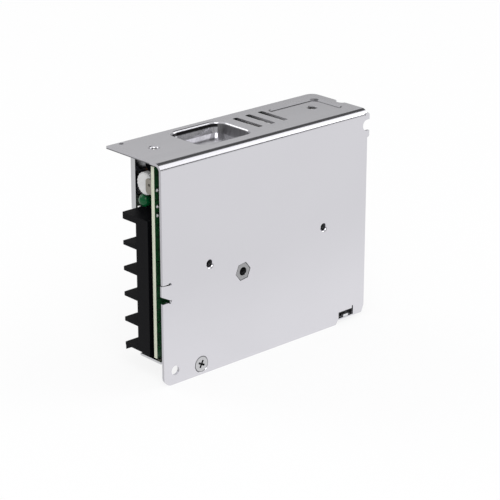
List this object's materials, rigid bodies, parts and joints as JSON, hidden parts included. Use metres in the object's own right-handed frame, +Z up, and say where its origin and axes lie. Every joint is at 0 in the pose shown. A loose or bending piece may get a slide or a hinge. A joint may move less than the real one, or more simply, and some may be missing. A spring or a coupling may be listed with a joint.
{
  "type": "switching power supply",
  "caption": "Enclosed mesh case switching power supply: folded mounting plate with a side flange, perforated cover, screw terminal block, trimmer and lamp at one end.",
  "frame": {"origin": "middle between the two tapped panel holes, on the outer face of the mounting plate", "axes": "+X along the length away from the terminal end, +Y out of the mounting plate towards the mesh face, +Z up towards the side flange, as the part is held in the picture"},
  "size_m": [0.099, 0.03, 0.081],
  "materials": {
    "chassis_metal": "smooth satin sheet",
    "cover_metal": "plated satin sheet",
    "fastener_metal": "zinc plated",
    "terminal_plastic": "fine moulded grain",
    "contact_metal": "tinned",
    "film": "translucent film",
    "board": "solder mask over cream laminate",
    "solder": "bright solder",
    "knob_plastic": "white moulded",
    "trimmer_plastic": "cream moulded",
    "lamp_plastic": "green translucent",
    "fuse_ceramic": "matt",
    "thermistor_ceramic": "dark coated",
    "capacitor_box": "yellow moulded",
    "capacitor_sleeve": "shrunk sleeve",
    "disc_ceramic": "blue coated",
    "ferrite": "matt ferrite",
    "copper": "enamelled copper wire",
    "tape": "polyester tape",
    "epoxy": "moulded epoxy",
    "sink_metal": "bare",
    "pad_rubber": "matt",
    "resistor_coat": "lacquered"
  },
  "bodies": {
    "root": {"board_screw": "fastener_metal", "board_standoff": "fastener_metal", "bridge_rectifier": "epoxy", "bulk_capacitor": "capacitor_sleeve", "chassis": "chassis_metal", "circuit_board": "board", "control_circuit": "epoxy", "cover_screw": "fastener_metal", "fuse": "fuse_ceramic", "indicator_lamp": "lamp_plastic", "inrush_thermistor": "thermistor_ceramic", "insulator_sheet": "film", "line_choke_core": "ferrite", "line_choke_windings": "copper", "mesh_cover": "cover_metal", "optocoupler": "epoxy", "output_capacitors": "capacitor_sleeve", "output_choke_core": "ferrite", "output_choke_winding": "copper", "output_rectifier": "epoxy", "rectifier_clip": "fastener_metal", "resistors": "resistor_coat", "small_capacitors": "capacitor_sleeve", "solder_joints": "solder", "switching_transistor": "epoxy", "terminal_contacts": "contact_metal", "terminal_housing": "terminal_plastic", "thermal_pad": "pad_rubber", "transformer_bobbin": "epoxy", "transformer_core": "ferrite", "transformer_winding": "tape", "transistor_heatsink": "sink_metal", "transistor_screw": "fastener_metal", "trimmer_body": "trimmer_plastic", "x_capacitor": "capacitor_box", "y_capacitors": "disc_ceramic"},
    "washer_1": {"clamp_washer_1": "fastener_metal"},
    "screw_1": {"terminal_screw_1": "fastener_metal"},
    "washer_2": {"clamp_washer_2": "fastener_metal"},
    "screw_2": {"terminal_screw_2": "fastener_metal"},
    "washer_3": {"clamp_washer_3": "fastener_metal"},
    "screw_3": {"terminal_screw_3": "fastener_metal"},
    "washer_4": {"clamp_washer_4": "fastener_metal"},
    "screw_4": {"terminal_screw_4": "fastener_metal"},
    "washer_5": {"clamp_washer_5": "fastener_metal"},
    "screw_5": {"terminal_screw_5": "fastener_metal"},
    "knob": {"trimmer_knob": "knob_plastic"}
  },
  "joints": [
    {"name": "washer_1_lift", "type": "slide", "parent": "root", "child": "washer_1", "axis": [0, 1, 0], "range_m": [0, 0.0025]},
    {"name": "screw_1_turn", "type": "hinge", "parent": "washer_1", "child": "screw_1", "pos_m": [-0.0434, 0.0149, -0.0259], "axis": [0, 1, 0], "range_deg": [0, 1800]},
    {"name": "washer_2_lift", "type": "slide", "parent": "root", "child": "washer_2", "axis": [0, 1, 0], "range_m": [0, 0.0025]},
    {"name": "screw_2_turn", "type": "hinge", "parent": "washer_2", "child": "screw_2", "pos_m": [-0.0434, 0.0149, -0.0164], "axis": [0, 1, 0], "range_deg": [0, 1800]},
    {"name": "washer_3_lift", "type": "slide", "parent": "root", "child": "washer_3", "axis": [0, 1, 0], "range_m": [0, 0.0025]},
    {"name": "screw_3_turn", "type": "hinge", "parent": "washer_3", "child": "screw_3", "pos_m": [-0.0434, 0.0149, -0.0069], "axis": [0, 1, 0], "range_deg": [0, 1800]},
    {"name": "washer_4_lift", "type": "slide", "parent": "root", "child": "washer_4", "axis": [0, 1, 0], "range_m": [0, 0.0025]},
    {"name": "screw_4_turn", "type": "hinge", "parent": "washer_4", "child": "screw_4", "pos_m": [-0.0434, 0.0149, 0.0026], "axis": [0, 1, 0], "range_deg": [0, 1800]},
    {"name": "washer_5_lift", "type": "slide", "parent": "root", "child": "washer_5", "axis": [0, 1, 0], "range_m": [0, 0.0025]},
    {"name": "screw_5_turn", "type": "hinge", "parent": "washer_5", "child": "screw_5", "pos_m": [-0.0434, 0.0149, 0.0121], "axis": [0, 1, 0], "range_deg": [0, 1800]},
    {"name": "knob_turn", "type": "hinge", "parent": "root", "child": "knob", "pos_m": [-0.048, 0.0112, 0.0309], "axis": [1, 0, 0], "range_deg": [-105, 105]}
  ],
  "couplings": [
    {"joint": "screw_1_turn", "follows": "washer_1_lift", "rad_per_m": 12566},
    {"joint": "screw_2_turn", "follows": "washer_2_lift", "rad_per_m": 12566},
    {"joint": "screw_3_turn", "follows": "washer_3_lift", "rad_per_m": 12566},
    {"joint": "screw_4_turn", "follows": "washer_4_lift", "rad_per_m": 12566},
    {"joint": "screw_5_turn", "follows": "washer_5_lift", "rad_per_m": 12566}
  ]
}
